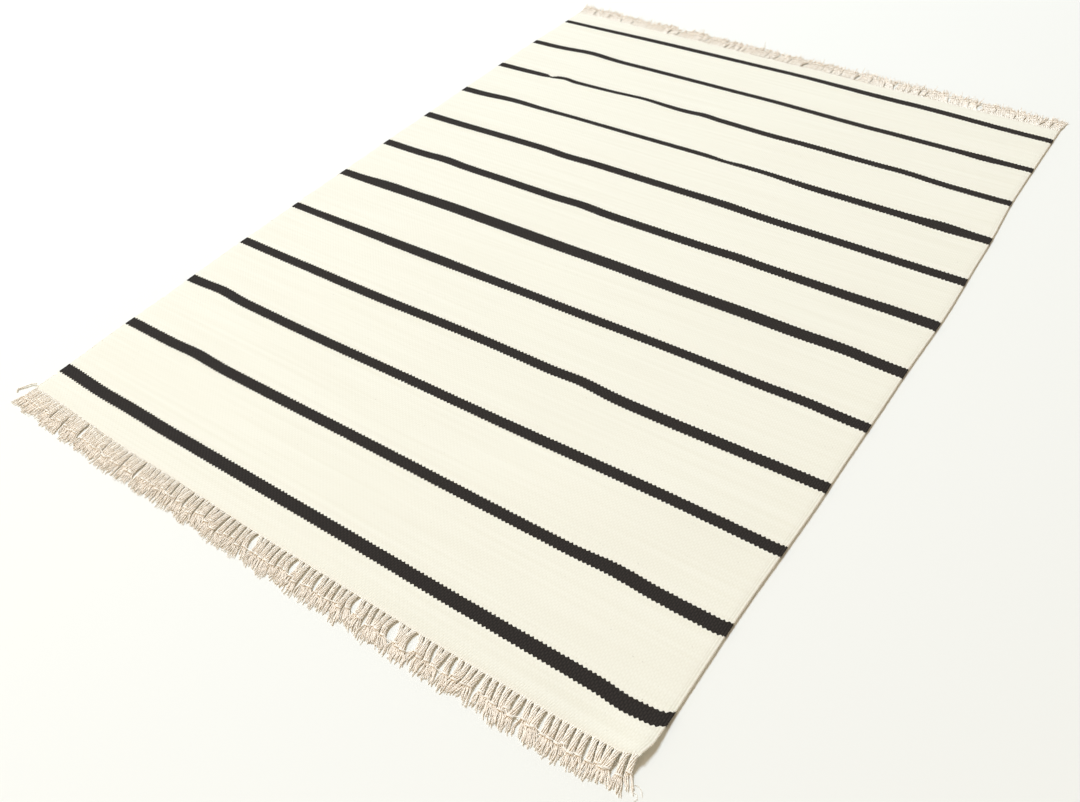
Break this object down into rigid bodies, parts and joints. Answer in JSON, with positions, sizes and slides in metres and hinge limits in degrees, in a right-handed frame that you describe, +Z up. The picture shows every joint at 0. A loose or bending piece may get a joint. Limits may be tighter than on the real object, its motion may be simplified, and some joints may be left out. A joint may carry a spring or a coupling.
{
  "type": "dhurrie rug",
  "caption": "Flat-woven striped floor rug lying flat with one curled corner, its warp ends left as tied fringe along both short ends.",
  "frame": {"origin": "on the floor, under the middle of the rug with its fringes", "axes": "+X across the rug along its stripes, +Y along it from the near end to the far end, +Z up"},
  "size_m": [1.746, 2.5548, 0.018],
  "materials": {
    "cream_wool": "matt weft-faced wool weave",
    "cotton_warp": "matt twisted cotton yarn",
    "black_wool": "matt weft-faced black wool weave"
  },
  "bodies": {
    "root": {"woven_field": "cream_wool", "fringe_near": "cotton_warp", "fringe_far": "cotton_warp"}
  },
  "joints": []
}
